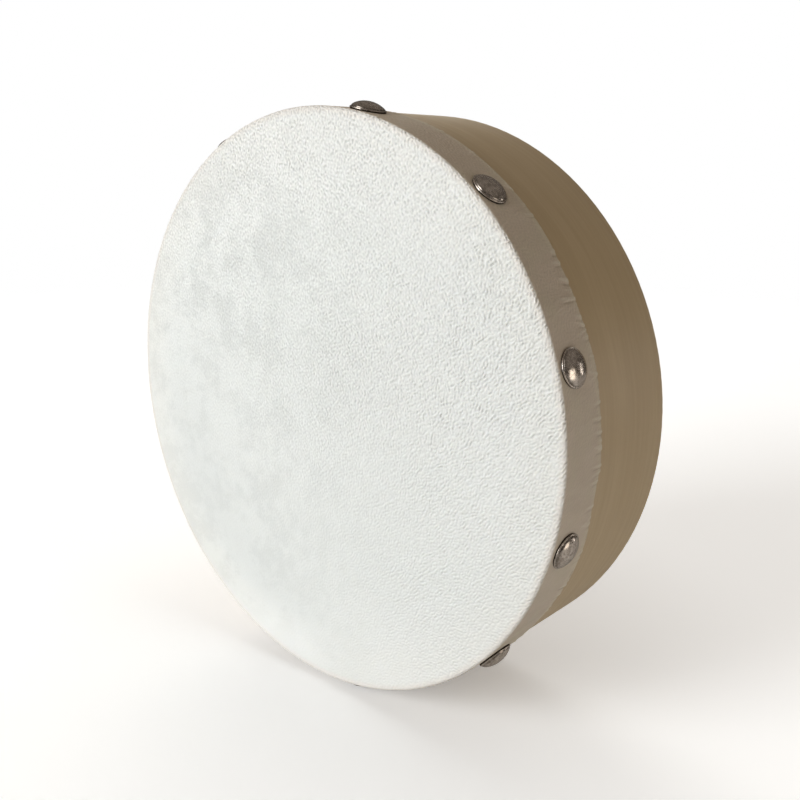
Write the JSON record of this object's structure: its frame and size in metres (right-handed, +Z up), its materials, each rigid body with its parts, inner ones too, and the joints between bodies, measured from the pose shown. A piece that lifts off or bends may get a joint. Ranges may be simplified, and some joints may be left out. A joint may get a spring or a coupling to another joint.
{
  "type": "frame drum",
  "caption": "Small single-headed frame drum: a bent laminated hoop with a white hide head wrapped over its front edge and held by dome-headed nails.",
  "frame": {"origin": "on the drum's axis, half way between the playing face and the rear rim", "axes": "+Y along the drum's axis from the head towards the open back, so the head faces -Y; +Z up as the drum stands on its edge; +X to the right seen from the head"},
  "size_m": [0.1513, 0.0446, 0.1525],
  "materials": {
    "veneer": "satin lacquer",
    "core_wood": "sanded ply edge",
    "hide": "matt, fine natural grain",
    "nail_metal": "polished dark nickel",
    "tack_steel": "bright drawn steel"
  },
  "bodies": {
    "root": {"shell_outer_ply": "veneer", "shell_core_ply": "core_wood", "shell_inner_ply": "veneer", "drum_head": "hide", "nail_caps": "nail_metal", "nail_shanks": "tack_steel"}
  },
  "joints": []
}
